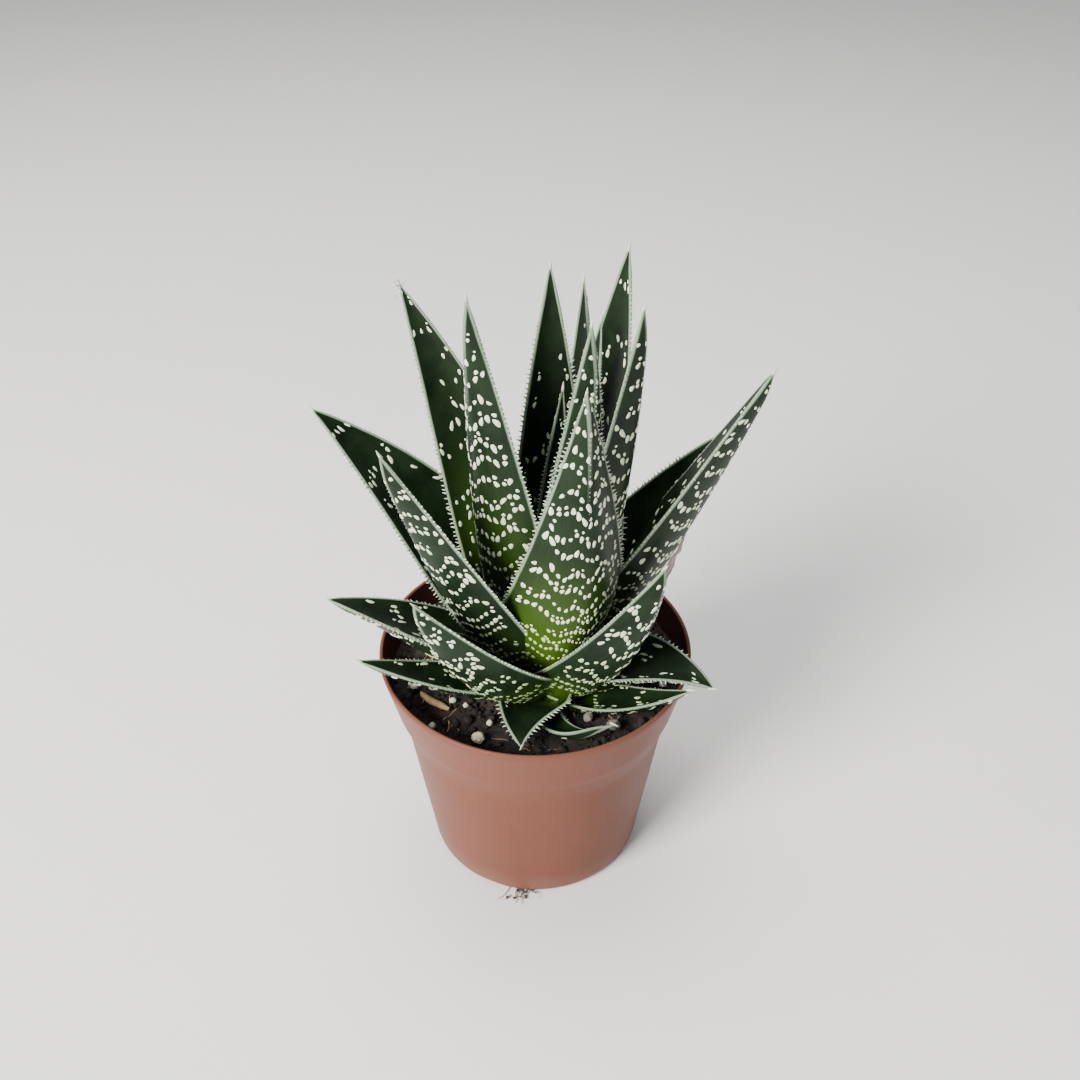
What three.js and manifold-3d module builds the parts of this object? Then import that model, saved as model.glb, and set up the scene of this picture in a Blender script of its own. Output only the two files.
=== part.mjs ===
// A potted aloe: a rosette of keeled leaves standing in potting soil in a small plastic nursery pot.
// Millimetres and degrees, +Z up. The origin is the middle of the pot's underside, where it stands.
// Azimuths are seen from above: 0 is +X (right), 90 is +Y (back), 180 is left and 270 is -Y (front).
import * as THREE from "three";
import { mergeVertices } from "three/addons/utils/BufferGeometryUtils.js";
import Module from "manifold-3d";

const wasm = await Module();
wasm.setup();

// ---- Driving dimensions -------------------------------------------------------------------------

const GAP = 0.3; // air left between two pieces that touch
const LEAST_CREVICE = 0.005; // a press cut smaller than this volume is left out
const LEAST_EDGE = 0.1; // cut edges finer than this are smoothed away

const POT = {
  height: 73,
  rimRadius: 45,
  wall: 1.2,
  collarHeight: 19,
  collarFootRadius: 40.8,
  shoulderRadius: 39.6,
  baseRadius: 32.5,
  baseCorner: 2.5,
  padRadius: 14, // the flat middle of the underside, which stands on the table with the outer foot
  footWidth: 5, // the flat outer foot
  channelRise: 2.5, // how far the channel between them is raised
  slope: 1, // run of each side of that channel
  segments: 40,
};

const DRAIN = {
  holes: 6,
  holeRadius: 3,
  arches: 3, // openings under the outer foot
  firstArch: 245,
  archWidth: 20,
  archHeight: 2,
};

const SOIL = {
  drop: 9, // from the rim down to the soil
  mound: 1.5, // rise of the soil towards the stem
};

const STEM = {
  x: 1.5, // the plant stands a little off the pot's axis
  y: -4,
  radius: 9,
  crownHeight: 15, // above the soil
  rootDepth: 14, // below the soil
};

const LEAF = {
  stations: 11,
  channel: 0.12, // depth of the inner face's channel, as a share of the leaf's width
  keel: 0.16, // depth of the keel below the channel, as a share of the width
  clasp: 0.24, // extra channel depth where the base wraps the stem
  edge: 0.5, // half thickness of the horny margin
  broadest: 0.33, // where it is broadest, along its length
  footShare: 0.75, // its width at the foot
  taper: 1.6,
  outerFoot: 2, // how far off the stem the outermost leaf's foot stands
  heartFoot: 1.5, // how far off the axis the innermost leaf's foot stands
  outerLift: 2.5, // height of the outermost leaf's foot above the soil
  heartDrop: 3, // depth of the innermost leaf's foot below the stem's crown
};

// Each leaf by where its tip ends: azimuth and reach are the tip's place about the stem's axis, and rise is
// its height above the soil. facing is the azimuth its outer face looks to, foot the azimuth it grows from,
// both the tip's azimuth unless given. bow is how far it bulges outwards between foot and tip, sway how
// far to the side. taper shapes its outline: 1 runs straight to the point, 2 is full and then rounds in.
// order is its place from the outside (0) to the heart (1).
const LEAVES = [
  // the heart
  { name: "leaf_heart_rear", azimuth: 37, facing: 110, reach: 7, rise: 92, width: 10, bow: 1,
    order: 0.99 },
  { name: "leaf_heart_right", azimuth: 24, facing: 60, reach: 16, rise: 109, width: 12, bow: 1,
    order: 0.97 },
  { name: "leaf_heart_front", azimuth: 320, facing: 310, reach: 15, rise: 115, width: 21, bow: 3,
    order: 0.94 },
  // upright leaves
  { name: "leaf_upright_back", azimuth: 81, facing: 95, reach: 15, rise: 119, width: 19, keel: 0.1,
    bow: 0, sway: -1, order: 0.88 },
  { name: "leaf_upright_left", azimuth: 203, facing: 218, reach: 18, rise: 120, width: 26, bow: 1,
    order: 0.85 },
  { name: "leaf_upright_right", azimuth: 348, facing: 343, reach: 24, rise: 117, width: 25, bow: 2,
    order: 0.82 },
  { name: "leaf_tall_back_right", azimuth: 33, facing: 40, reach: 25, rise: 124, width: 25, keel: 0.1,
    bow: 3, order: 0.78 },
  { name: "leaf_front_centre", azimuth: 298, facing: 290, reach: 22, rise: 103, width: 32, bow: 7,
    taper: 1.2, order: 0.74 },
  { name: "leaf_back_small", azimuth: 67, facing: 40, reach: 28, rise: 111, width: 15, bow: 4,
    order: 0.7 },
  { name: "leaf_tall_back_left", azimuth: 143, facing: 97, reach: 45, rise: 109, width: 23, keel: 0.1,
    bow: 0, sway: -4, order: 0.66 },
  // leaves that lean out
  { name: "leaf_right", azimuth: 3, facing: 340, reach: 57, rise: 97, width: 28, bow: 1, sway: 4,
    order: 0.6 },
  { name: "leaf_front_left", azimuth: 214, facing: 218, reach: 44, rise: 90, width: 28, keel: 0.12,
    bow: 1, order: 0.57 },
  { name: "leaf_back_mid_right", azimuth: 50, reach: 36, rise: 54, width: 22, bow: 3, order: 0.54 },
  { name: "leaf_back_mid", azimuth: 84, reach: 40, rise: 60, width: 22, bow: 3, order: 0.52 },
  { name: "leaf_left", azimuth: 165, facing: 142, reach: 62, rise: 79, width: 30, keel: 0.1, bow: -5,
    sway: -4, order: 0.48 },
  { name: "leaf_right_rear", azimuth: 22, foot: 50, facing: 45, reach: 51, rise: 69, width: 26, bow: 1,
    order: 0.44 },
  { name: "leaf_front_right_low", azimuth: 324, facing: 312, foot: 305, reach: 38, rise: 56, width: 29,
    bow: 4, order: 0.4 },
  { name: "leaf_front_left_low", azimuth: 222, facing: 232, foot: 250, reach: 42, rise: 49, width: 29,
    bow: 3, order: 0.36 },
  { name: "leaf_right_withered", azimuth: 350, facing: 330, foot: 325, reach: 38, rise: 55, width: 6,
    bow: 4, order: 0.34 },
  // low leaves around the rim
  { name: "leaf_low_left", azimuth: 186, facing: 202, foot: 240, reach: 58, rise: 33, width: 25, bow: -4,
    sway: 3, order: 0.28 },
  { name: "leaf_low_back_right", azimuth: 62, reach: 45, rise: 28, width: 20, bow: 4, order: 0.26 },
  { name: "leaf_low_right", azimuth: 337, foot: 292, reach: 51, rise: 13, width: 24, bow: -7,
    order: 0.22 },
  { name: "leaf_low_back", azimuth: 92, reach: 48, rise: 24, width: 20, bow: 4, order: 0.2 },
  { name: "leaf_low_back_left", azimuth: 118, reach: 50, rise: 20, width: 20, bow: 3, order: 0.16 },
  { name: "leaf_lowest_left", azimuth: 197, foot: 240, reach: 52, rise: 19, width: 13, bow: 1,
    order: 0.1 },
  { name: "leaf_lowest_right", azimuth: 331, foot: 290, reach: 46.5, rise: 15, width: 12, bow: 3,
    order: 0.08 },
  { name: "leaf_lowest_front", azimuth: 262, foot: 290, reach: 36, rise: 7, width: 20, bow: -4,
    taper: 1.2, order: 0.04 },
  { name: "leaf_stub_front_right", azimuth: 306, foot: 275, facing: 275, reach: 34, rise: 7, width: 7,
    bow: 8, order: 0.02 },
];

// Perlite, grit and bark that lie loose on the soil: azimuth and reach about the pot's axis, and their size.
const GRAINS = [
  { name: "perlite_left", azimuth: 197, reach: 36, size: 3.4 },
  { name: "perlite_front_left", azimuth: 223, reach: 38.5, size: 2.4 },
  { name: "perlite_front_large", azimuth: 244, reach: 35, size: 3.8 },
  { name: "grit_left_inner", azimuth: 216, reach: 28.5, size: 2 },
  { name: "grit_left_middle", azimuth: 224, reach: 27, size: 1.8 },
  { name: "grit_front", azimuth: 244, reach: 28.5, size: 2 },
  { name: "lump_front_right", azimuth: 309, reach: 34.5, size: 4 },
  { name: "lump_right", azimuth: 302, reach: 28, size: 3.4 },
  { name: "perlite_right", azimuth: 345, reach: 38, size: 2.6 },
  { name: "perlite_back", azimuth: 75, reach: 33, size: 3.2 },
  { name: "grit_back", azimuth: 110, reach: 37, size: 2.4 },
];

// The lumps' shape: how much narrower and flatter than round, and how uneven.
const LUMP = { narrow: 0.85, flat: 0.75, uneven: 0.14 };

const BARK = { azimuth: 212, reach: 33, length: 9, width: 2.6, thickness: 1.2, turn: 60 };

// ---- Small helpers ------------------------------------------------------------------------------

const rad = THREE.MathUtils.degToRad;
const lerp = THREE.MathUtils.lerp;

const soilTop = POT.height - SOIL.drop;

function solidOf(geometry) {
  const bare = geometry.clone();
  bare.deleteAttribute("normal");
  bare.deleteAttribute("uv");
  const merged = mergeVertices(bare, 1e-3);
  return new wasm.Manifold(
    new wasm.Mesh({
      numProp: 3,
      vertProperties: merged.attributes.position.array,
      triVerts: new Uint32Array(merged.index.array),
    }),
  );
}

function geometryOf(solid) {
  const mesh = solid.getMesh();
  const geometry = new THREE.BufferGeometry();
  geometry.setAttribute("position", new THREE.BufferAttribute(mesh.vertProperties, 3));
  geometry.setIndex(new THREE.BufferAttribute(mesh.triVerts, 1));
  geometry.computeVertexNormals();
  return geometry;
}

// A shape turned about the Z axis from [radius, height] points.
function turned(points, segments) {
  const outline = points.map(([radius, height]) => new THREE.Vector2(radius, height));
  return new THREE.LatheGeometry(outline, segments).rotateX(Math.PI / 2);
}

// A closed skin over a row of rings that all have the same number of points, ended by a point.
function skin(rings, tip) {
  const count = rings[0].length;
  const positions = rings.flat().concat([tip, centreOf(rings[0])]);
  const tipIndex = rings.length * count;
  const baseIndex = tipIndex + 1;
  const faces = [];
  for (let ring = 0; ring < rings.length - 1; ring += 1) {
    for (let i = 0; i < count; i += 1) {
      const a = ring * count + i;
      const b = ring * count + ((i + 1) % count);
      faces.push(a, b + count, b, a, a + count, b + count);
    }
  }
  const last = (rings.length - 1) * count;
  for (let i = 0; i < count; i += 1) {
    const next = (i + 1) % count;
    faces.push(last + next, last + i, tipIndex);
    faces.push(i, next, baseIndex);
  }
  const geometry = new THREE.BufferGeometry().setFromPoints(positions);
  geometry.setIndex(faces);
  return geometry;
}

function centreOf(points) {
  return points.reduce((sum, p) => sum.add(p), new THREE.Vector3()).divideScalar(points.length);
}

// ---- Leaves -------------------------------------------------------------------------------------

// Share of the full width at a place along the leaf: broad near the foot, then a long taper.
function widthShare(along, taper) {
  if (along < LEAF.broadest) {
    return LEAF.footShare + (1 - LEAF.footShare) * Math.sin((Math.PI / 2) * (along / LEAF.broadest));
  }
  return 1 - ((along - LEAF.broadest) / (1 - LEAF.broadest)) ** taper;
}

// The leaf's section, from one margin over the channelled inner face to the other and back over the keel.
// x runs across the leaf in half widths; the depths are shares of the channel and the keel.
const CHANNEL_POINT = { across: 0.55, channel: 0.7, keel: 0 };
const KEEL_POINT = { across: 0.6, channel: 0.55, keel: 0.62 };
const SECTION = [
  { across: -1, channel: 0, keel: 0 },
  { ...CHANNEL_POINT, across: -CHANNEL_POINT.across },
  { across: 0, channel: 1, keel: 0 },
  CHANNEL_POINT,
  { across: 1, channel: 0, keel: 0 },
  KEEL_POINT,
  { across: 0, channel: 1, keel: 1 },
  { ...KEEL_POINT, across: -KEEL_POINT.across },
];

function polar(azimuth, reach, height) {
  const angle = rad(azimuth);
  return new THREE.Vector3(STEM.x + reach * Math.cos(angle), STEM.y + reach * Math.sin(angle), height);
}

function leafSkin(leaf, grow = 0) {
  const footReach = lerp(STEM.radius + LEAF.outerFoot, LEAF.heartFoot, leaf.order);
  const footHeight = soilTop + lerp(LEAF.outerLift, STEM.crownHeight - LEAF.heartDrop, leaf.order);
  const foot = polar(leaf.foot ?? leaf.azimuth, footReach, footHeight);
  const tip = polar(leaf.azimuth, leaf.reach, soilTop + leaf.rise);
  const chord = tip.clone().sub(foot);
  const facing = rad(leaf.facing ?? leaf.azimuth);
  const outward = new THREE.Vector3(Math.cos(facing), Math.sin(facing), 0);
  const side = new THREE.Vector3(-Math.sin(facing), Math.cos(facing), 0);
  const chordWay = chord.clone().normalize();
  const sway = leaf.sway ?? 0;
  const bulge = outward.clone().addScaledVector(chordWay, -outward.dot(chordWay)).normalize();

  const rings = [];
  for (let station = 0; station < LEAF.stations; station += 1) {
    const along = station / LEAF.stations;
    const centre = foot.clone().addScaledVector(chord, along);
    const arch = 4 * along * (1 - along);
    const archSlope = 4 * (1 - 2 * along);
    centre.addScaledVector(bulge, leaf.bow * arch).addScaledVector(side, sway * arch);
    const ahead = chord
      .clone()
      .addScaledVector(bulge, leaf.bow * archSlope)
      .addScaledVector(side, sway * archSlope)
      .normalize();
    const across = side.clone().addScaledVector(ahead, -side.dot(ahead)).normalize();
    const inward = new THREE.Vector3().crossVectors(ahead, across);
    const width = leaf.width * widthShare(along, leaf.taper ?? LEAF.taper);
    const channel = width * (LEAF.channel + LEAF.clasp * (1 - along) ** 3);
    const keel = width * (leaf.keel ?? LEAF.keel) + 2 * LEAF.edge;
    const inner = (2 * channel * CHANNEL_POINT.channel) / (width * (1 - CHANNEL_POINT.across));
    const outer =
      (2 * (channel * KEEL_POINT.channel + keel * KEEL_POINT.keel)) / (width * (1 - KEEL_POINT.across));
    const marginLift = inner + outer + (Math.hypot(1, inner) - Math.hypot(1, outer)) / 2;
    rings.push(
      SECTION.map((point) => {
        const depth = channel * point.channel + keel * point.keel;
        const margin = Math.abs(point.across) === 1;
        const swell = grow * (margin ? marginLift : point.keel > 0 ? -1 : 1);
        return centre
          .clone()
          .addScaledVector(across, (width / 2 + (margin ? 2 : 1) * grow) * point.across)
          .addScaledVector(inward, channel * 0.5 - depth + swell);
      }),
    );
  }
  const end = tip.clone().addScaledVector(chordWay, 2 * grow);
  return skin(rings, end);
}

// ---- Stem, pot and soil -------------------------------------------------------------------------

function stemShape(grow = 0) {
  const radius = STEM.radius + grow;
  const top = STEM.crownHeight + grow;
  const shoulder = STEM.crownHeight * 0.4;
  const outline = [
    [0, -STEM.rootDepth - grow],
    [radius * 0.55, -STEM.rootDepth - grow],
    [radius * 0.8, -STEM.rootDepth * 0.5],
    [radius, 0],
    [radius * 0.92, shoulder],
    [radius * 0.62, lerp(shoulder, top, 0.6)],
    [radius * 0.3, lerp(shoulder, top, 0.9)],
    [0, top],
  ];
  return turned(outline, 16).translate(STEM.x, STEM.y, soilTop);
}

const collarFoot = POT.height - POT.collarHeight;
const footInner = POT.baseRadius - POT.footWidth;

// Half outlines from the middle of the floor out and up the wall, moved inwards from the pot's outside.
function potOutline(inset, topHeight) {
  const rise = POT.channelRise + inset;
  const bodySlope = (POT.shoulderRadius - POT.baseRadius) / collarFoot;
  const collarSlope = (POT.rimRadius - POT.collarFootRadius) / POT.collarHeight;
  const corner = POT.baseCorner;
  const bend = [0, 30, 60, 90].map((angle) => {
    const lean = bodySlope * corner * Math.sin(rad(angle / 2));
    const reach = POT.baseRadius - inset - corner + corner * Math.sin(rad(angle)) + lean;
    return [reach, inset + corner * (1 - Math.cos(rad(angle)))];
  });
  const ledge = collarFoot + inset;
  return [
    [0, inset],
    [POT.padRadius - inset, inset],
    [POT.padRadius + POT.slope - inset, rise],
    [footInner - POT.slope + inset, rise],
    [footInner + inset, inset],
    ...bend,
    [POT.shoulderRadius - inset, ledge],
    [POT.collarFootRadius - inset, ledge + inset * 0.3],
    [POT.collarFootRadius - inset + collarSlope * (topHeight - ledge), topHeight],
  ];
}

function drainCutters() {
  const middle = (POT.padRadius + footInner) / 2;
  const holes = Array.from({ length: DRAIN.holes }, (_, i) => {
    const hole = new THREE.CylinderGeometry(DRAIN.holeRadius, DRAIN.holeRadius, 4 * POT.channelRise, 10);
    hole.rotateX(Math.PI / 2).translate(middle, 0, POT.channelRise);
    return hole.rotateZ(rad((i * 360) / DRAIN.holes));
  });
  const arcRadius = ((DRAIN.archWidth / 2) ** 2 + DRAIN.archHeight ** 2) / (2 * DRAIN.archHeight);
  const arches = Array.from({ length: DRAIN.arches }, (_, i) => {
    const run = 2 * POT.footWidth + 2 * POT.slope;
    const arch = new THREE.CylinderGeometry(arcRadius, arcRadius, run, 32);
    const azimuth = DRAIN.firstArch + (i * 360) / DRAIN.arches;
    return arch
      .rotateZ(Math.PI / 2)
      .translate(footInner - POT.slope + run / 2, 0, DRAIN.archHeight - arcRadius)
      .rotateZ(rad(azimuth));
  });
  return [...holes, ...arches];
}

function potShell(grow = 0) {
  const outside = potOutline(-grow, POT.height + grow);
  const inside = potOutline(POT.wall + grow, POT.height + grow).reverse();
  return solidOf(turned([...outside, ...inside], POT.segments));
}

function potSolid() {
  let pot = potShell();
  for (const cutter of drainCutters()) {
    pot = pot.subtract(solidOf(cutter));
  }
  return pot;
}

// The soil fills the pot, a gap off its wall, and rises a little towards the middle.
function soilHeight(reach) {
  return soilTop + SOIL.mound * (1 - Math.min(reach / POT.collarFootRadius, 1) ** 2);
}

function soilShell(grow = 0) {
  const wallSide = potOutline(POT.wall + GAP - grow, soilTop + grow);
  const edge = wallSide[wallSide.length - 1][0];
  const mound = [0.7, 0.35, 0].map((share) => [edge * share, soilHeight(edge * share) + grow]);
  return solidOf(turned([...wallSide, ...mound], POT.segments));
}

// A lump with flattened, uneven sides, resting on the soil.
function grainShape(grain, index) {
  const lump = new THREE.DodecahedronGeometry(grain.size / 2);
  const place = lump.attributes.position;
  const point = new THREE.Vector3();
  for (let i = 0; i < place.count; i += 1) {
    point.fromBufferAttribute(place, i);
    const wave = Math.sin(point.x * 2.3 + index) * Math.cos(point.y * 1.9 - index) * LUMP.uneven;
    point.multiplyScalar(1 + wave);
    place.setXYZ(i, point.x, point.y * LUMP.narrow, point.z * LUMP.flat);
  }
  lump.rotateZ(index);
  lump.computeBoundingBox();
  const angle = rad(grain.azimuth);
  const rest = soilHeight(grain.reach) + GAP - lump.boundingBox.min.z;
  return lump.translate(grain.reach * Math.cos(angle), grain.reach * Math.sin(angle), rest);
}

function barkShape() {
  const angle = rad(BARK.azimuth);
  const chip = new THREE.CylinderGeometry(BARK.width / 2, BARK.width * 0.35, BARK.length, 8, 1);
  chip.scale(1, 1, BARK.thickness / BARK.width).rotateZ(rad(BARK.turn));
  chip.computeBoundingBox();
  const rest = soilHeight(BARK.reach) + GAP - chip.boundingBox.min.z;
  return chip.translate(BARK.reach * Math.cos(angle), BARK.reach * Math.sin(angle), rest);
}

// ---- Pressing the leaves together ---------------------------------------------------------------

function biggest(solid) {
  return solid.decompose().sort((a, b) => b.volume() - a.volume())[0];
}

// A box round a solid with the gap to spare on every side.
function boxAround(solid) {
  const { min, max } = solid.boundingBox();
  const box = new THREE.Box3(new THREE.Vector3(...min), new THREE.Vector3(...max)).expandByScalar(GAP);
  const size = box.getSize(new THREE.Vector3());
  const middle = box.getCenter(new THREE.Vector3());
  return solidOf(new THREE.BoxGeometry(size.x, size.y, size.z).translate(middle.x, middle.y, middle.z));
}

// From the heart outwards, each leaf gives way to what it would run into: the stem, the pot, the soil and
// the leaves already in place. Where it presses on them it is cut back by the gap.
function pressedLeaves(fixed) {
  const placed = [];
  const leaves = new Map();
  const fromTheHeart = [...LEAVES].sort((a, b) => b.order - a.order);
  for (const leaf of fromTheHeart) {
    let solid = solidOf(leafSkin(leaf));
    for (const other of [...fixed, ...placed]) {
      const bite = solid.intersect(other);
      if (bite.volume() > LEAST_CREVICE) {
        solid = biggest(solid.subtract(other));
      }
    }
    for (const inner of leaves.values()) {
      const shared = solid.intersect(inner);
      if (shared.volume() > 0) {
        solid = biggest(solid.subtract(boxAround(shared)));
      }
    }
    leaves.set(leaf.name, biggest(solid.simplify(LEAST_EDGE)));
    placed.push(solidOf(leafSkin(leaf, GAP)));
  }
  return leaves;
}

// ---- Assembly -----------------------------------------------------------------------------------

const MATERIALS = {
  plastic: new THREE.MeshStandardMaterial({ color: 0xa9705c, roughness: 0.45, metalness: 0 }),
  peat: new THREE.MeshStandardMaterial({ color: 0x2a201b, roughness: 0.95, metalness: 0 }),
  stem: new THREE.MeshStandardMaterial({ color: 0x7c8f3f, roughness: 0.6, metalness: 0 }),
  leaf: new THREE.MeshStandardMaterial({ color: 0x24382a, roughness: 0.4, metalness: 0 }),
  witheredLeaf: new THREE.MeshStandardMaterial({ color: 0x5b4f55, roughness: 0.8, metalness: 0 }),
  perlite: new THREE.MeshStandardMaterial({ color: 0xd9d2c2, roughness: 0.9, metalness: 0 }),
  bark: new THREE.MeshStandardMaterial({ color: 0x8a6a42, roughness: 0.85, metalness: 0 }),
};

const plant = new THREE.Group();

function add(name, geometry, material) {
  const mesh = new THREE.Mesh(geometry, material);
  mesh.name = name;
  plant.add(mesh);
}

// A grain that a leaf lies on gives way to it by the gap.
function pressedGrain(geometry, leaves) {
  let lump = solidOf(geometry);
  let pressed = false;
  for (const leaf of leaves.values()) {
    const shared = lump.intersect(leaf);
    if (shared.volume() > LEAST_CREVICE) {
      lump = biggest(lump.subtract(boxAround(shared)));
      pressed = true;
    }
  }
  return pressed ? geometryOf(lump) : geometry;
}

const stemClearance = solidOf(stemShape(GAP));
add("pot", geometryOf(potSolid()), MATERIALS.plastic);
add("soil", geometryOf(soilShell().subtract(stemClearance)), MATERIALS.peat);
add("stem", stemShape(), MATERIALS.stem);

const leaves = pressedLeaves([stemClearance, soilShell(GAP), potShell(GAP)]);
for (const [name, solid] of leaves) {
  add(name, geometryOf(solid), name.includes("withered") ? MATERIALS.witheredLeaf : MATERIALS.leaf);
}

GRAINS.forEach((grain, index) => {
  add(grain.name, pressedGrain(grainShape(grain, index), leaves), MATERIALS.perlite);
});
add("bark_chip", pressedGrain(barkShape(), leaves), MATERIALS.bark);

export default plant;
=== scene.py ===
# %% [markdown]
# This lesson dresses the solids of a potted aloe: a nursery pot, peat, and a rosette of flecked, toothed
# leaves. The solids give every place and size. Each is replaced by a finer piece, or keeps its shape and
# gets a finish.

# %% Load the frame
import math

import bpy
import numpy as np
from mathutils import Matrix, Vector, noise


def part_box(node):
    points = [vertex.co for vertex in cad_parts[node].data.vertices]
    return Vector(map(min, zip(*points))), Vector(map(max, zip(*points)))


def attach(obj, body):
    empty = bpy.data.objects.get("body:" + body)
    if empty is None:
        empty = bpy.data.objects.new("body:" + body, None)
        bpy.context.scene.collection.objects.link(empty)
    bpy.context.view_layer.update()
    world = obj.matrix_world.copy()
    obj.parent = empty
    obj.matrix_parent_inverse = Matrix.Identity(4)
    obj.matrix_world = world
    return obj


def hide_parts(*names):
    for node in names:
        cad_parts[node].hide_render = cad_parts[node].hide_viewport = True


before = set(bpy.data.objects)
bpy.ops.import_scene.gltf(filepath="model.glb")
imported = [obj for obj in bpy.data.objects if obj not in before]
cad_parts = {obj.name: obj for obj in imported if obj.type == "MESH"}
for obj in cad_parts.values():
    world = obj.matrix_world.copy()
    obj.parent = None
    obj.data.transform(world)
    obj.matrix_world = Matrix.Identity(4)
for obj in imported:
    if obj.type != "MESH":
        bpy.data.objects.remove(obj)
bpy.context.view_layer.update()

MM = 0.001

# %% [markdown]
# The plant stands on a plain pale floor in soft light. One large light from the left and front models the
# pot and the leaves, a much weaker one from the right opens the shadows, and one from above and behind
# draws the pale leaf edges. The camera looks down at the rosette, as one does at a plant on a table.

# %% Floor, lights and camera
def deselect():
    bpy.ops.object.select_all(action="DESELECT")


def pick(ob):
    """Selects one object alone and makes it the active one."""
    deselect()
    ob.select_set(True)
    bpy.context.view_layer.objects.active = ob


def set_place(ob):
    """Puts an object's place, turn and size into its mesh."""
    pick(ob)
    bpy.ops.object.transform_apply(location=True, rotation=True, scale=True)


deselect()
bpy.ops.mesh.primitive_circle_add(vertices=96, radius=4, fill_type="NGON", location=(0, 0, -0.0002))
floor = bpy.context.object
floor.name = "floor"
set_place(floor)


def studio_light(name, place, target, size, watts, colour):
    deselect()
    bpy.ops.object.light_add(type="AREA", location=place)
    lamp = bpy.context.object
    lamp.name = name
    lamp.data.shape = "DISK"
    lamp.data.size = size
    lamp.data.energy = watts
    lamp.data.color = colour
    lamp.rotation_euler = (Vector(target) - Vector(place)).to_track_quat("-Z", "Y").to_euler()
    return lamp


MIDDLE = (0, 0, 0.09)
studio_light("key_light", (-0.92, -0.95, 0.88), MIDDLE, 0.7, 60, (1.0, 0.975, 0.94))
studio_light("fill_light", (1.0, -0.35, 0.6), MIDDLE, 0.8, 0.8, (0.93, 0.96, 1.0))
studio_light("top_light", (-0.15, 0.3, 1.25), MIDDLE, 0.9, 12, (1.0, 1.0, 1.0))
world = bpy.data.worlds.new("studio")
bpy.context.scene.world = world
world.use_nodes = True
world.node_tree.nodes["Background"].inputs["Color"].default_value = (0.80, 0.81, 0.83, 1)
world.node_tree.nodes["Background"].inputs["Strength"].default_value = 0.45

LOOK_DOWN = math.radians(36)
CAMERA_PLACE = (0.0014, -0.23623, 0.28093)
deselect()
bpy.ops.object.camera_add(location=CAMERA_PLACE, rotation=(math.pi / 2 - LOOK_DOWN, 0, 0))
camera = bpy.context.object
camera.data.lens = 36
camera.data.sensor_width = 36
camera.data.clip_start = 0.01
bpy.context.scene.camera = camera
print("camera looks down by", round(math.degrees(LOOK_DOWN)), "degrees")

# %% [markdown]
# Every finish here is a small graph of nodes. Writing the sums as Python expressions keeps them readable,
# so Reading wraps one output socket and gives it arithmetic, and Finish makes a material and adds nodes to
# it.

# %% Shader helpers
class Reading:
    """A number or a colour that changes over a surface."""

    def __init__(self, finish, socket):
        self.finish = finish
        self.socket = socket

    def sum_with(self, operation, first, second):
        return self.finish.node("ShaderNodeMath", {"operation": operation}, {0: first, 1: second})

    def __add__(self, other):
        return self.sum_with("ADD", self, other)

    def __sub__(self, other):
        return self.sum_with("SUBTRACT", self, other)

    def __rsub__(self, other):
        return self.sum_with("SUBTRACT", other, self)

    def __mul__(self, other):
        return self.sum_with("MULTIPLY", self, other)

    def __truediv__(self, other):
        return self.sum_with("DIVIDE", self, other)

    def __pow__(self, other):
        return self.sum_with("POWER", self, other)

    __radd__ = __add__
    __rmul__ = __mul__


class Finish:
    """A material whose nodes are added one by one."""

    def __init__(self, name, **constants):
        self.material = bpy.data.materials.new(name)
        self.material.use_nodes = True
        self.tree = self.material.node_tree
        self.shader = self.tree.nodes["Principled BSDF"]
        for socket, value in constants.items():
            self.shader.inputs[socket.replace("_", " ")].default_value = value

    def node(self, kind, settings=None, inputs=None, output=0):
        made = self.tree.nodes.new(kind)
        for key, value in (settings or {}).items():
            if key == "stops":
                while len(made.color_ramp.elements) < len(value):
                    made.color_ramp.elements.new(0.5)
                for element, (place, colour) in zip(made.color_ramp.elements, value):
                    element.position = place
                    element.color = colour
            else:
                setattr(made, key, value)
        for key, value in (inputs or {}).items():
            if isinstance(value, Reading):
                self.tree.links.new(value.socket, made.inputs[key])
            else:
                made.inputs[key].default_value = value
        return Reading(self, made.outputs[output])

    def place(self):
        return self.node("ShaderNodeTexCoord", output="Object")

    def attribute(self, name):
        return self.node("ShaderNodeAttribute", {"attribute_name": name}, output="Fac")

    def noise(self, scale, detail=3.0, roughness=0.55, at=None, stretch=None):
        at = at or self.place()
        if stretch:
            at = self.node("ShaderNodeMapping", inputs={"Vector": at, "Scale": stretch})
        inputs = {"Vector": at, "Scale": scale, "Detail": detail, "Roughness": roughness}
        return self.node("ShaderNodeTexNoise", inputs=inputs)

    def between(self, value, low, high, to_low=0.0, to_high=1.0):
        """value taken from the span low to high onto another span, and held at its ends."""
        inputs = {"Value": value, "From Min": low, "From Max": high, "To Min": to_low, "To Max": to_high}
        return self.node("ShaderNodeMapRange", {"interpolation_type": "SMOOTHSTEP"}, inputs)

    def mix(self, share, first, second):
        return self.node("ShaderNodeMix", {"data_type": "RGBA"}, {0: share, 6: first, 7: second}, output=2)

    def bump(self, height, depth, strength=1.0):
        inputs = {"Height": height, "Distance": depth, "Strength": strength}
        return self.node("ShaderNodeBump", inputs=inputs)

    def feed(self, **sockets):
        for name, reading in sockets.items():
            self.tree.links.new(reading.socket, self.shader.inputs[name.replace("_", " ")])
        return self.material


def paint(ob, *materials):
    ob.data.materials.clear()
    for material in materials:
        ob.data.materials.append(material)


table_top = Finish("pale_table", Roughness=0.7)
speckle = table_top.noise(40, 2)
floor_colour = table_top.mix(speckle, (0.86, 0.85, 0.83, 1), (0.89, 0.88, 0.86, 1))
paint(floor, table_top.feed(Base_Color=floor_colour))

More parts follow.
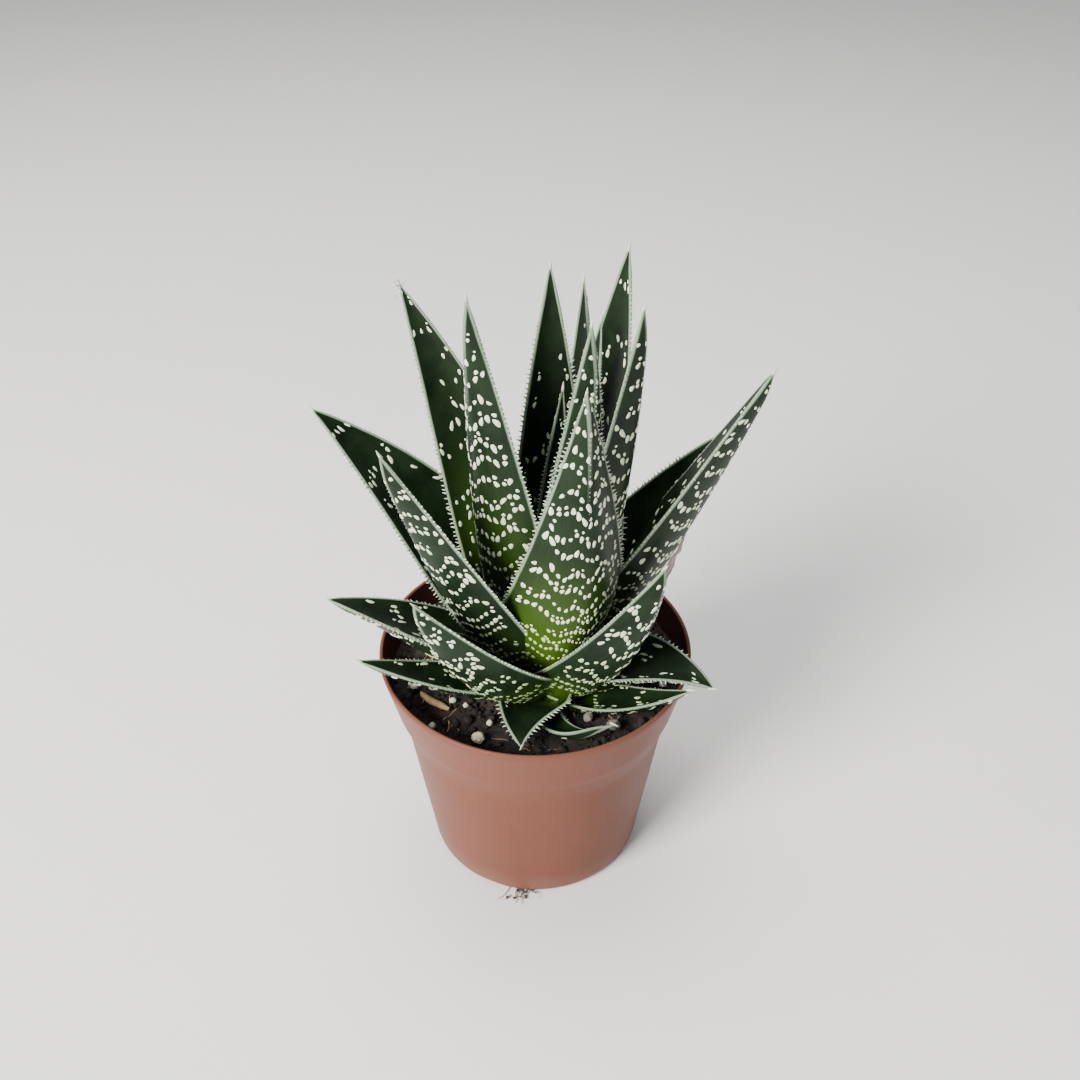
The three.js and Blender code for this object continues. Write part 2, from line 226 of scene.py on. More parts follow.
# %% [markdown]
# The nursery pot is thin moulded plastic: a tapered wall, a flared collar with a step under it, a rounded
# lip and a foot ring. It could be built up from cylinders, but a half outline that is drawn once and spun
# about the upright axis gives one closed wall with no joints, so that is what lathe does.

# %% Spin a half outline into a closed round piece
def turn_faces_out(merge=0):
    """Merges the active mesh's points that are closer than merge metres and turns its faces outwards."""
    bpy.ops.object.mode_set(mode="EDIT")
    bpy.ops.mesh.select_all(action="SELECT")
    if merge:
        bpy.ops.mesh.remove_doubles(threshold=merge)
    bpy.ops.mesh.normals_make_consistent(inside=False)
    bpy.ops.object.mode_set(mode="OBJECT")


def lathe(name, outline, steps):
    """outline holds (radius, height) points in millimetres, from the axis round and back to the axis."""
    deselect()
    bpy.ops.mesh.primitive_circle_add(vertices=len(outline) + 1, radius=1)
    ob = bpy.context.object
    ob.name = name
    for vertex, (radius, height) in zip(ob.data.vertices, outline):
        vertex.co = (radius * MM, 0, height * MM)
    bpy.ops.object.mode_set(mode="EDIT")
    bpy.ops.mesh.select_all(action="DESELECT")
    bpy.ops.object.mode_set(mode="OBJECT")
    ob.data.vertices[len(outline)].select = True
    bpy.ops.object.mode_set(mode="EDIT")
    bpy.ops.mesh.delete(type="VERT")
    bpy.ops.mesh.select_all(action="SELECT")
    bpy.ops.mesh.spin(steps=steps, angle=2 * math.pi, center=(0, 0, 0), axis=(0, 0, 1))
    turn_faces_out(merge=1e-6)
    return ob


def arc(cx, cz, radius, start, stop, count):
    angles = np.radians(np.linspace(start, stop, count))
    return [(cx + radius * math.cos(a), cz + radius * math.sin(a)) for a in angles]


def smooth_by_angle(ob, degrees):
    pick(ob)
    bpy.ops.object.shade_smooth_by_angle(angle=math.radians(degrees))


# %% [markdown]
# The outline runs from the axis under the foot, out and up the wall, over the lip and back down inside. The
# wall and the collar are straight slopes, the foot and the lip are arcs, and the step under the collar is a
# soft one, because a moulded part has no sharp inner corners.

# %% The pot's outline
_, pot_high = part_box("pot")
RIM = pot_high.x / MM
POT_TOP = pot_high.z / MM
WALL = 1.2
COLLAR_HEIGHT = 19
COLLAR_FOOT = POT_TOP - COLLAR_HEIGHT
COLLAR_FOOT_RADIUS = 40.8
SHOULDER_RADIUS = 39.6
BASE_RADIUS = 32.5
PAD_RADIUS = 14.0
FOOT_INNER = BASE_RADIUS - 5.0
CHANNEL_RISE = 2.5
LIP = WALL / 2


def wall_slope(height):
    return BASE_RADIUS + (SHOULDER_RADIUS - BASE_RADIUS) * height / COLLAR_FOOT


outside = [(0, 0), (PAD_RADIUS - 0.3, 0), (PAD_RADIUS, 0.25), (PAD_RADIUS + 1, CHANNEL_RISE)]
outside += [(FOOT_INNER - 1, CHANNEL_RISE), (FOOT_INNER, 0.25), (FOOT_INNER + 0.3, 0)]
outside += arc(wall_slope(2.5) - 2.5, 2.5, 2.5, -90, -6, 9)
outside += [(wall_slope(z), z) for z in np.linspace(4, COLLAR_FOOT - 6.2, 12)]
# how far the step under the collar stands out from the wall's slope, every millimetre up from STEP_START
STEP_START = COLLAR_FOOT - 5.2
STEP = (0.03, 0.10, 0.23, 0.40, 0.58, 0.76, 0.92, 1.05)
outside += [(wall_slope(STEP_START + rise) + out, STEP_START + rise) for rise, out in enumerate(STEP)]
collar_rise = POT_TOP - LIP - COLLAR_FOOT
for share in np.linspace(0.17, 1, 8):
    reach = COLLAR_FOOT_RADIUS + (RIM - COLLAR_FOOT_RADIUS) * share
    outside.append((reach, COLLAR_FOOT + collar_rise * share))
lip = arc(RIM - LIP, POT_TOP - LIP, LIP, 20, 160, 6)
inside = [(radius - WALL, max(height, WALL)) for radius, height in outside[::-1][:9]]
inside += [(wall_slope(z) - WALL, z) for z in np.linspace(COLLAR_FOOT - 1.5, 4.5, 10)]
inside += [(BASE_RADIUS - 3.4, 2.2), (FOOT_INNER + 0.8, WALL), (FOOT_INNER - 0.6, CHANNEL_RISE + WALL)]
inside += [(PAD_RADIUS + 0.6, CHANNEL_RISE + WALL), (PAD_RADIUS - 0.8, WALL), (0, WALL)]
pot = lathe("nursery_pot", outside + lip + inside, 160)
print("pot outline points:", len(outside) + len(lip) + len(inside), "faces:", len(pot.data.polygons))

# %% [markdown]
# Six drain holes go through the channel under the foot, and three low arches let water out from under it. A
# Boolean modifier with a cylinder for each hole is the simplest way, applied at once so that nothing stays
# live.

# %% Cut the drain holes and the arches under the foot
def cut_away(ob, tool):
    pick(ob)
    cut = ob.modifiers.new("cut", "BOOLEAN")
    cut.operation = "DIFFERENCE"
    cut.solver = "EXACT"
    cut.object = tool
    bpy.ops.object.modifier_apply(modifier=cut.name)
    bpy.data.objects.remove(tool)


def round_bar(radius, length, place, turn):
    deselect()
    bpy.ops.mesh.primitive_cylinder_add(
        vertices=48, radius=radius * MM, depth=length * MM, location=[c * MM for c in place], rotation=turn
    )
    return bpy.context.object


HOLES = 6
HOLE_RADIUS = 3
ARCHES = 3
ARCH_HEIGHT = 2
ARCH_RADIUS = 26
for hole in range(HOLES):
    angle = math.radians(360 / HOLES * hole)
    reach = (PAD_RADIUS + FOOT_INNER) / 2
    middle = (reach * math.cos(angle), reach * math.sin(angle), CHANNEL_RISE)
    cut_away(pot, round_bar(HOLE_RADIUS, 8, middle, (0, 0, 0)))
for arch in range(ARCHES):
    angle = math.radians(245 + 360 / ARCHES * arch)
    reach = BASE_RADIUS - 2.5
    middle = (reach * math.cos(angle), reach * math.sin(angle), ARCH_HEIGHT - ARCH_RADIUS)
    cut_away(pot, round_bar(ARCH_RADIUS, 14, middle, (0, math.pi / 2, angle)))
smooth_by_angle(pot, 40)

# %% [markdown]
# The inside of the wall is painted dark, partly as a stain of peat and partly as painted shade, because the
# inner wall lies in shadow. An attribute is 1 on the inner wall and 0 elsewhere, and the finish reads it, so
# the stain and the painted shade stay on the inside of a wall that is only a millimetre thick.

# %% Mark the inner wall
# marks the inner wall, which gets a peat stain and painted shade
soiled = pot.data.attributes.new("soiled", "FLOAT", "POINT")
for vertex, value in zip(pot.data.vertices, soiled.data):
    reach, height = math.hypot(vertex.co.x, vertex.co.y) / MM, vertex.co.z / MM
    outer_wall = wall_slope(height)
    if height > COLLAR_FOOT + 1.5:
        outer_wall = COLLAR_FOOT_RADIUS + (RIM - COLLAR_FOOT_RADIUS) * (height - COLLAR_FOOT) / COLLAR_HEIGHT
    value.value = 1.0 if reach < outer_wall - WALL / 2 and 5 < height < POT_TOP - 0.2 else 0.0

# %% [markdown]
# The plastic is terracotta brown with a satin skin. Handling leaves it a little uneven: faint cloudy
# patches, fine scratches that run round the wall, and dust and dried splashes near the foot. These change
# the colour and the roughness only slightly, because strong marks would turn the plastic into clay. The
# inner wall is painted much darker, partly as a peat stain and partly as painted shade, because the inside
# of the pot lies in shadow.

# %% Terracotta-coloured plastic
plastic = Finish("terracotta_plastic", IOR=1.46, Specular_IOR_Level=0.16)
cloud = plastic.between(plastic.noise(35, 4), 0.35, 0.7)
scratch_field = plastic.noise(260, 4, 0.7, stretch=(1, 1, 5))
scratches = plastic.between(scratch_field, 0.66, 0.72)
height = plastic.node("ShaderNodeSeparateXYZ", inputs={0: plastic.place()}, output=2)
collar = plastic.between(height, 0.0535, 0.0545)
dust_low = plastic.between(height, 0.0, 0.012, 1.0, 0.0) * plastic.noise(140, 5, 0.7)
warm = plastic.mix(cloud, (0.138, 0.046, 0.027, 1), (0.155, 0.054, 0.033, 1))
warm = plastic.mix(collar * 0.6, warm, (0.160, 0.058, 0.037, 1))
warm = plastic.mix(scratches * 0.14, warm, (0.50, 0.33, 0.26, 1))
warm = plastic.mix(dust_low * 0.35, warm, (0.30, 0.22, 0.17, 1))
# painted shade and peat stain: the inner wall is mixed most of the way to a near-black brown
warm = plastic.mix(plastic.attribute("soiled") * 0.85, warm, (0.030, 0.013, 0.009, 1))
sheen = plastic.between(cloud, 0, 1, 0.42, 0.50) + scratches * 0.15
grain = plastic.noise(900, 3) * 0.6 + cloud * 0.4
paint(pot, plastic.feed(Base_Color=warm, Roughness=sheen, Normal=plastic.bump(grain, 0.00006, 0.6)))
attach(pot, "root")
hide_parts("pot")
print("pot faces:", len(pot.data.polygons))

# %% [markdown]
# Peat is crumbs of every size. A spun disc with a slightly domed, noisy top makes the ground under them.
# Noise alone could give it its bumps, but from close by the crumbs have to be real shapes, and they come
# next.

# %% The ground of peat
stem_low, stem_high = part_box("stem")
STEM_X = (stem_low.x + stem_high.x) / 2 / MM
STEM_Y = (stem_low.y + stem_high.y) / 2 / MM
SOIL_TOP = stem_high.z / MM - 15
SOIL_EDGE = 41.9


def ground(x, y):
    """Height of the peat in millimetres over a place, with its lumps."""
    dome = 1.5 * (1 - min(math.hypot(x, y) / 40.8, 1) ** 2)
    lumps = 0.9 * noise.fractal(Vector((x * 0.16, y * 0.16, 3.1)), 1.0, 2.0, 4)
    pits = 0.45 * noise.noise(Vector((x * 0.9, y * 0.9, 8.7)))
    return SOIL_TOP + dome + lumps + pits


bed = [(0, 2.2), (30, 4.2), (32, 8), (SOIL_EDGE - 3.2, COLLAR_FOOT - 1), (SOIL_EDGE, SOIL_TOP - 2)]
bed += [(radius, SOIL_TOP) for radius in np.linspace(SOIL_EDGE + 0.2, 1.2, 56)] + [(0, SOIL_TOP)]
peat = lathe("peat", bed, 200)
for vertex in peat.data.vertices:
    if vertex.co.z > (SOIL_TOP - 0.5) * MM:
        vertex.co.z = ground(vertex.co.x / MM, vertex.co.y / MM) * MM
peat.data.shade_smooth()
print("peat faces:", len(peat.data.polygons))

# %% [markdown]
# About two thousand crumbs lie on the ground. Five are modelled, as fine balls that noise pushes in and
# out, and the rest are copies with their own size and turn. They are joined into one piece, because
# thousands of objects would be slow.

# %% Crumbs, modelled once and copied
def taken_up(ob):
    """The points and faces of a pattern piece, which is then removed."""
    points = np.array([vertex.co[:] for vertex in ob.data.vertices])
    faces = [tuple(face.vertices) for face in ob.data.polygons]
    bpy.data.objects.remove(ob)
    return points, faces


def copies_as_piece(name, copies, smooth=True):
    """One object from a list of (points, faces)."""
    points = np.concatenate([c[0] for c in copies])
    faces = []
    start = 0
    for part_points, part_faces in copies:
        faces += [tuple(start + i for i in face) for face in part_faces]
        start += len(part_points)
    mesh = bpy.data.meshes.new(name)
    mesh.from_pydata(points, [], faces)
    ob = bpy.data.objects.new(name, mesh)
    bpy.context.collection.objects.link(ob)
    if smooth:
        mesh.shade_smooth()
    return ob


def unit(vectors):
    return vectors / np.linalg.norm(vectors, axis=-1, keepdims=True)


def any_turn(rng):
    """The matrix of a turn about any axis by any angle."""
    x, y, z = unit(rng.normal(size=3))
    angle = rng.uniform(0, 2 * math.pi)
    skew = np.array([[0, -z, y], [z, 0, -x], [-y, x, 0]])
    return np.eye(3) + math.sin(angle) * skew + (1 - math.cos(angle)) * skew @ skew


def lump_pattern(seed, levels, roughness):
    deselect()
    bpy.ops.mesh.primitive_ico_sphere_add(subdivisions=levels, radius=1)
    points, faces = taken_up(bpy.context.object)
    for point in points:
        place = Vector(point) * 1.3 + Vector((seed, 0, 0))
        point *= 1 + roughness * noise.fractal(place, 1.0, 2.0, 3)
    return points, faces


def on_soil(rng, least=11.0, most=SOIL_EDGE - 1.0):
    reach = math.sqrt(rng.uniform(least**2, most**2))
    angle = rng.uniform(0, 2 * math.pi)
    return reach * math.cos(angle), reach * math.sin(angle)


rng = np.random.default_rng(11)
crumb_patterns = [lump_pattern(seed, 2, 0.55) for seed in range(5)]
crumbs = []
for size, count in ((0.6, 1100), (1.1, 620), (1.9, 230), (3.0, 60)):
    for _ in range(count):
        x, y = on_soil(rng)
        points, faces = crumb_patterns[rng.integers(5)]
        stretch = size / 2 * rng.uniform(0.6, 1.2, 3)
        placed = (points * stretch) @ any_turn(rng).T + (x, y, ground(x, y) + size * 0.12)
        crumbs.append((placed * MM, faces))
crumb_layer = copies_as_piece("peat_crumbs", crumbs)
print("crumbs:", len(crumbs), "faces:", len(crumb_layer.data.polygons))

# %% [markdown]
# Peat holds pale fibres. Each is a path that wanders a little at every step, with a thin tube laid round
# it. A curve with a bevel would do the same, but a tube made here can thin out towards its end.

# %% Fibres in the peat
def ring_faces(rings, around):
    """The faces between rings that each have as many points around."""
    faces = []
    for i in range(rings - 1):
        for j in range(around):
            a, b = i * around + j, i * around + (j + 1) % around
            faces.append((a, b, b + around, a + around))
    return faces


def strand(path, radii, sides=6):
    """A closed thin tube along a path, in millimetres."""
    path = np.array(path, float)
    ahead = unit(np.gradient(path, axis=0))
    across = unit(np.cross(ahead, (0.31, 0.17, 0.94)))
    above = np.cross(ahead, across)
    angles = np.linspace(0, 2 * math.pi, sides, endpoint=False)
    rings = []
    for i in range(len(path)):
        rings += [path[i] + radii[i] * (np.cos(a) * across[i] + np.sin(a) * above[i]) for a in angles]
    points = np.array(rings + [path[0], path[-1]])
    faces = ring_faces(len(path), sides)
    last = (len(path) - 1) * sides
    for j in range(sides):
        k = (j + 1) % sides
        faces.append((k, j, len(points) - 2))
        faces.append((last + j, last + k, len(points) - 1))
    return points * MM, faces


def wandering(rng, start, heading, length, steps, waviness):
    path = [np.array(start, float)]
    heading = np.array(heading, float)
    for _ in range(steps):
        heading = unit(heading + rng.normal(0, waviness, 3))
        path.append(path[-1] + heading * length / steps)
    return path


fibres = []
for _ in range(70):
    x, y = on_soil(rng)
    angle = rng.uniform(0, 2 * math.pi)
    start = (x, y, ground(x, y) + 0.25)
    path = wandering(rng, start, (math.cos(angle), math.sin(angle), 0), rng.uniform(2, 6), 8, 0.22)
    path = [(p[0], p[1], ground(p[0], p[1]) + 0.3) for p in path if math.hypot(p[0], p[1]) < SOIL_EDGE - 0.5]
    if len(path) > 3:
        thick = rng.uniform(0.1, 0.2)
        fibres.append(strand(path, [thick] * (len(path) - 1) + [thick * 0.4], 5))
fibre_layer = copies_as_piece("peat_fibres", fibres)
print("fibres:", len(fibres))

# %% [markdown]
# Moist peat is nearly black with browner, drier patches. A fine noise mixes the two blacks, and a broad one
# lays the brown patches and makes them a little shinier or duller. The fibres are straw coloured.

# %% Peat finishes
BLACK_PEAT = (0.0040, 0.0030, 0.0025, 1)
DARK_PEAT = (0.023, 0.015, 0.011, 1)
BROWN_PEAT = (0.048, 0.030, 0.019, 1)
peat_finish = Finish("moist_peat", Roughness=0.95)
fine = peat_finish.noise(700, 6, 0.7)
broad = peat_finish.noise(110, 4)
dark_peat = peat_finish.mix(peat_finish.between(fine, 0.3, 0.7), BLACK_PEAT, DARK_PEAT)
brown_peat = peat_finish.mix(peat_finish.between(broad, 0.52, 0.75), dark_peat, BROWN_PEAT)
damp = peat_finish.between(broad, 0.3, 0.6, 0.6, 0.98)
crumbly = peat_finish.bump(fine, 0.0006, 0.9)
peat_material = peat_finish.feed(Base_Color=brown_peat, Roughness=damp, Normal=crumbly)
fibre_finish = Finish("dry_fibre", Roughness=0.85)
straw = fibre_finish.mix(
    fibre_finish.between(fibre_finish.noise(60, 2), 0.4, 0.6), (0.10, 0.055, 0.03, 1), (0.36, 0.24, 0.14, 1)
)
fibre_material = fibre_finish.feed(Base_Color=straw)
paint(peat, peat_material)
paint(crumb_layer, peat_material)
paint(fibre_layer, fibre_material)
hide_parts("soil")
for piece in (peat, crumb_layer, fibre_layer):
    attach(piece, "root")

# %% [markdown]
# White perlite, cream grit and two grey lumps lie on the peat. Each has a pitted skin, made from a fine
# ball that noise pushes in and out, at the place and size of its solid.

# %% Grains
def grain_piece(node, seed):
    low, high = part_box(node)
    size = (high - low) / 2
    middle = (high + low) / 2
    deselect()
    bpy.ops.mesh.primitive_ico_sphere_add(subdivisions=5, radius=1)
    ob = bpy.context.object
    ob.name = node + "_grain"
    for vertex in ob.data.vertices:
        way = vertex.co.copy()
        big = 0.22 * noise.noise(way * 1.4 + Vector((seed, 0, 0)))
        pits = 0.10 * noise.fractal(way * 4.5 + Vector((0, seed, 0)), 0.9, 2.0, 4)
        reach = 1.0 + big + pits
        vertex.co = middle + Vector((way.x * size.x, way.y * size.y, way.z * size.z)) * reach
    ob.data.shade_smooth()
    return ob


def mineral(name, pale, dull, roughness):
    finish = Finish(name, Roughness=roughness)
    patches = finish.between(finish.noise(900, 5, 0.65), 0.4, 0.68)
    colour = finish.mix(patches, pale, dull)
    return finish.feed(Base_Color=colour, Normal=finish.bump(finish.noise(1600, 4), 0.0002, 0.8))


perlite_material = mineral("perlite_white", (0.72, 0.69, 0.60, 1), (0.42, 0.36, 0.27, 1), 0.9)
cream_material = mineral("cream_grit", (0.66, 0.58, 0.42, 1), (0.32, 0.25, 0.16, 1), 0.85)
grey_material = mineral("grey_lump", (0.17, 0.155, 0.135, 1), (0.08, 0.065, 0.05, 1), 0.95)
grain_nodes = [n for n in sorted(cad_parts) if n.startswith(("perlite", "grit", "lump"))]
for seed, node in enumerate(grain_nodes):
    grain = grain_piece(node, seed * 3.7)
    pale_kind = cream_material if "large" in node else perlite_material
    paint(grain, grey_material if node.startswith("lump") else pale_kind)
    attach(grain, "root")
    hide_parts(node)
print("grains:", len(grain_nodes))

# %% [markdown]
# The chip of bark is a flat curled strip. A box would be too stiff, so the strip is laid along a slightly
# wavy path: at each place along it, an arched line across the top, the same line underneath, and the ends
# closed.

# %% The chip of bark
def ribbon_piece(name, path, width, thickness, curl):
    """A flat strip along a path in millimetres, curled across by curl and closed all round."""
    path = np.array(path, float)
    ahead = unit(np.gradient(path, axis=0))
    across = unit(np.cross((0, 0, 1), ahead))
    shares = np.linspace(-1, 1, 9)
    rows = len(path)
    taper = np.interp(np.linspace(0, 1, rows), [0, 0.08, 0.3, 0.8, 1], [0.35, 0.8, 1, 0.9, 0.3])
    loops = []
    for i in range(rows):
        lift = curl * (1 - shares**2)
        top = path[i] + across[i] * (shares * width / 2 * taper[i])[:, None]
        top[:, 2] += lift + thickness / 2
        under = top[::-1].copy()
        under[:, 2] -= thickness
        loops.append(np.concatenate([top, under]))
    count = len(loops[0])
    points = np.concatenate(loops)
    faces = ring_faces(rows, count)
    faces.append(tuple(range(count))[::-1])
    faces.append(tuple((rows - 1) * count + j for j in range(count)))
    ob = copies_as_piece(name, [(points * MM, faces)], smooth=False)
    pick(ob)
    turn_faces_out()
    smooth_by_angle(ob, 45)
    return ob


low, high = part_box("bark_chip")
middle = (low + high) / 2 / MM
half = (high - low) / 2 / MM
bark_path = [
    (
        middle.x + half.x * t,
        middle.y - half.y * t,
        middle.z + 0.5 * t * t + 0.15 * math.sin(5 * t),
    )
    for t in np.linspace(-0.95, 0.95, 14)
]
bark = ribbon_piece("bark_chip_piece", bark_path, 2.2, 0.5, 0.5)
bark_finish = Finish("dry_bark", Roughness=0.8)
bark_grain = bark_finish.noise(900, 5, 0.6, stretch=(1, 0.25, 1))
bark_colour = bark_finish.mix(bark_grain, (0.13, 0.07, 0.03, 1), (0.52, 0.34, 0.17, 1))
paint(bark, bark_finish.feed(Base_Color=bark_colour, Normal=bark_finish.bump(bark_grain, 0.0003, 0.9)))
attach(bark, "root")
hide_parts("bark_chip")

# %% [markdown]
# An aloe leaf is a long fleshy lance. Its inner face is a shallow channel and its outer face is rounded,
# with a keel that sharpens towards the point. A pale horny rim runs round it, set with small soft teeth.
# Each leaf is told by where its tip ends, as its solid is: the tip's azimuth and reach about the stem and
# its rise above the soil, the azimuth it faces and the one it grows from, its width, how far it bows and
# sways, how sharp its keel is, how its outline tapers, and its order from the outside (0) to the heart (1).

# %% Where each leaf grows, in degrees and millimetres about the stem
GROWTH = {
    "leaf_heart_rear": dict(azimuth=37, facing=110, reach=7, rise=92, width=10, bow=1, order=0.99),
    "leaf_heart_right": dict(azimuth=24, facing=60, reach=16, rise=109, width=12, bow=1, order=0.97),
    "leaf_heart_front": dict(azimuth=320, facing=310, reach=15, rise=115, width=21, bow=3, order=0.94),
    "leaf_upright_back": dict(
        azimuth=81, facing=95, reach=15, rise=119, width=19, bow=0, sway=-1, keel=0.1, order=0.88
    ),
    "leaf_upright_left": dict(azimuth=203, facing=218, reach=18, rise=120, width=26, bow=1, order=0.85),
    "leaf_upright_right": dict(azimuth=348, facing=343, reach=24, rise=117, width=25, bow=2, order=0.82),
    "leaf_tall_back_right": dict(
        azimuth=33, facing=40, reach=25, rise=124, width=25, bow=3, keel=0.1, order=0.78
    ),
    "leaf_front_centre": dict(
        azimuth=298, facing=290, reach=22, rise=103, width=32, bow=7, taper=1.2, order=0.74
    ),
    "leaf_back_small": dict(azimuth=67, facing=40, reach=28, rise=111, width=15, bow=4, order=0.7),
    "leaf_tall_back_left": dict(
        azimuth=143, facing=97, reach=45, rise=109, width=23, bow=0, sway=-4, keel=0.1, order=0.66
    ),
    "leaf_right": dict(azimuth=3, facing=340, reach=57, rise=97, width=28, bow=1, sway=4, order=0.6),
    "leaf_front_left": dict(
        azimuth=214, facing=218, reach=44, rise=90, width=28, bow=1, keel=0.12, order=0.57
    ),
    "leaf_back_mid_right": dict(azimuth=50, reach=36, rise=54, width=22, bow=3, order=0.54),
    "leaf_back_mid": dict(azimuth=84, reach=40, rise=60, width=22, bow=3, order=0.52),
    "leaf_left": dict(
        azimuth=165, facing=142, reach=62, rise=79, width=30, bow=-5, sway=-4, keel=0.1, order=0.48
    ),
    "leaf_right_rear": dict(azimuth=22, facing=45, foot=50, reach=51, rise=69, width=26, bow=1, order=0.44),
    "leaf_front_right_low": dict(
        azimuth=324, facing=312, foot=305, reach=38, rise=56, width=29, bow=4, order=0.4
    ),
    "leaf_front_left_low": dict(
        azimuth=222, facing=232, foot=250, reach=42, rise=49, width=29, bow=3, order=0.36
    ),
    "leaf_right_withered": dict(
        azimuth=350, facing=330, foot=325, reach=38, rise=55, width=6, bow=4, order=0.34
    ),
    "leaf_low_left": dict(
        azimuth=186, facing=202, foot=240, reach=58, rise=33, width=25, bow=-4, sway=3, order=0.28
    ),
    "leaf_low_back_right": dict(azimuth=62, reach=45, rise=28, width=20, bow=4, order=0.26),
    "leaf_low_right": dict(azimuth=337, foot=292, reach=51, rise=13, width=24, bow=-7, order=0.22),
    "leaf_low_back": dict(azimuth=92, reach=48, rise=24, width=20, bow=4, order=0.2),
    "leaf_low_back_left": dict(azimuth=118, reach=50, rise=20, width=20, bow=3, order=0.16),
    "leaf_lowest_left": dict(azimuth=197, foot=240, reach=52, rise=19, width=13, bow=1, order=0.1),
    "leaf_lowest_right": dict(azimuth=331, foot=290, reach=46.5, rise=15, width=12, bow=3, order=0.08),
    "leaf_lowest_front": dict(
        azimuth=262, foot=290, reach=36, rise=7, width=20, bow=-4, taper=1.2, order=0.04
    ),
    "leaf_stub_front_right": dict(
        azimuth=306, facing=275, foot=275, reach=34, rise=7, width=7, bow=8, order=0.02
    ),
}
CHANNEL = 0.12
CLASP = 0.24
KEEL = 0.16
BROADEST = 0.33
FOOT_SHARE = 0.75
RIND = 0.32
STEM_RADIUS = 9
CROWN = 15


def polar(azimuth, reach, height):
    angle = math.radians(azimuth)
    return np.array([STEM_X + reach * math.cos(angle), STEM_Y + reach * math.sin(angle), height])


# %% [markdown]
# The growing rule is a curved middle line from the stem to the tip, and at each place along it a section
# that is laid across. A leaf could also be pushed out of a grid by hand, but a rule lets the flecks and the
# teeth be laid exactly on the surface afterwards.

# %% The growing rule of a leaf
class LeafRule:
    """u runs from foot (0) to tip (1), x from margin (-1) to margin (1), side is 1 inside and -1 outside."""

    def __init__(
        self, azimuth, reach, rise, width, bow, order, facing=None, foot=None, sway=0, keel=KEEL, taper=1.6
    ):
        self.width, self.bow, self.sway, self.keel, self.taper = width, bow, sway, keel, taper
        foot_reach = (STEM_RADIUS + 2) * (1 - order) + 1.5 * order
        foot_height = SOIL_TOP + 2.5 * (1 - order) + (CROWN - 3) * order
        self.foot = polar(azimuth if foot is None else foot, foot_reach, foot_height)
        self.tip = polar(azimuth, reach, SOIL_TOP + rise)
        self.chord = self.tip - self.foot
        self.length = np.linalg.norm(self.chord)
        angle = math.radians(azimuth if facing is None else facing)
        self.outward = np.array([math.cos(angle), math.sin(angle), 0])
        self.sideways = np.array([-math.sin(angle), math.cos(angle), 0])
        way = self.chord / self.length
        self.bulge = unit(self.outward - way * self.outward.dot(way))

    def full_width(self, u):
        u = np.clip(u, 0, 1)
        young = FOOT_SHARE + (1 - FOOT_SHARE) * np.sin(math.pi / 2 * np.minimum(u / BROADEST, 1))
        late = 1 - (np.maximum(u - BROADEST, 0) / (1 - BROADEST)) ** self.taper
        return self.width * np.where(u < BROADEST, young, late)

    def axes(self, u):
        u = np.asarray(u, float)[..., None]
        arch, slope = 4 * u * (1 - u), 4 * (1 - 2 * u)
        centre = self.foot + self.chord * u + self.bulge * self.bow * arch + self.sideways * self.sway * arch
        ahead = unit(self.chord + self.bulge * self.bow * slope + self.sideways * self.sway * slope)
        across = unit(self.sideways - ahead * (ahead @ self.sideways)[..., None])
        return centre, across, np.cross(ahead, across)

    def depth(self, u, x, side):
        """How far the face lies behind the line from margin to margin."""
        width = self.full_width(u)
        channel = width * (CHANNEL + CLASP * (1 - np.clip(u, 0, 1)) ** 3) * (1 - x**2)
        ridge = 1.95 - 0.75 * np.clip((u - 0.35) / 0.5, 0, 1)
        body = (width * self.keel + np.minimum(1, width / 5)) * (1 - (x**2 + 0.0016) ** (ridge / 2))
        return channel + np.where(side < 0, np.maximum(body, 0), 0)

    def skin(self, u, x, side):
        centre, across, inward = self.axes(u)
        width = self.full_width(u)
        base = width * (CHANNEL + CLASP * (1 - np.clip(u, 0, 1)) ** 3) * 0.5
        drop = (base - self.depth(u, x, side))[..., None]
        return centre + across * (width / 2 * x)[..., None] + inward * drop

    def normal(self, u, x, side):
        du, dx = 0.002, 0.01
        along = self.skin(u + du, x, side) - self.skin(u - du, x, side)
        over = self.skin(u, x + dx, side) - self.skin(u, x - dx, side)
        return unit(np.cross(along, over)) * np.asarray(side)[..., None]


rules = {name: LeafRule(**growth) for name, growth in GROWTH.items()}
print("leaves:", len(rules), "longest:", round(max(rule.length for rule in rules.values())), "mm")

# %% [markdown]
# The skin of a leaf is a grid wrapped round its sections: over the inner face, round one margin, over the
# outer face and round the other. The attributes "rim" and "ridge" keep how far each point is from the pale
# margin and from the keel, so that the material can colour them by real distance. "along" says how far up
# the leaf a point is, and "outer" is 1 on the outer face.

# %% Wrap a grid round a leaf
AROUND = 48
ALONG = 84
FACE_SHARE = 0.44


def section_walk(share):
    """The place round a section for a share from 0 to 1: x across, side, and the turn round the margin."""
    half = np.where(share < 0.5, share, share - 0.5) * 2
    side = np.where(share < 0.5, 1.0, -1.0)
    across = np.clip(half / (2 * FACE_SHARE), 0, 1)
    x = -np.cos(math.pi * across) * side
    turn = np.clip((half - 2 * FACE_SHARE) / (1 - 2 * FACE_SHARE), 0, 1) * math.pi
    return x, side, turn


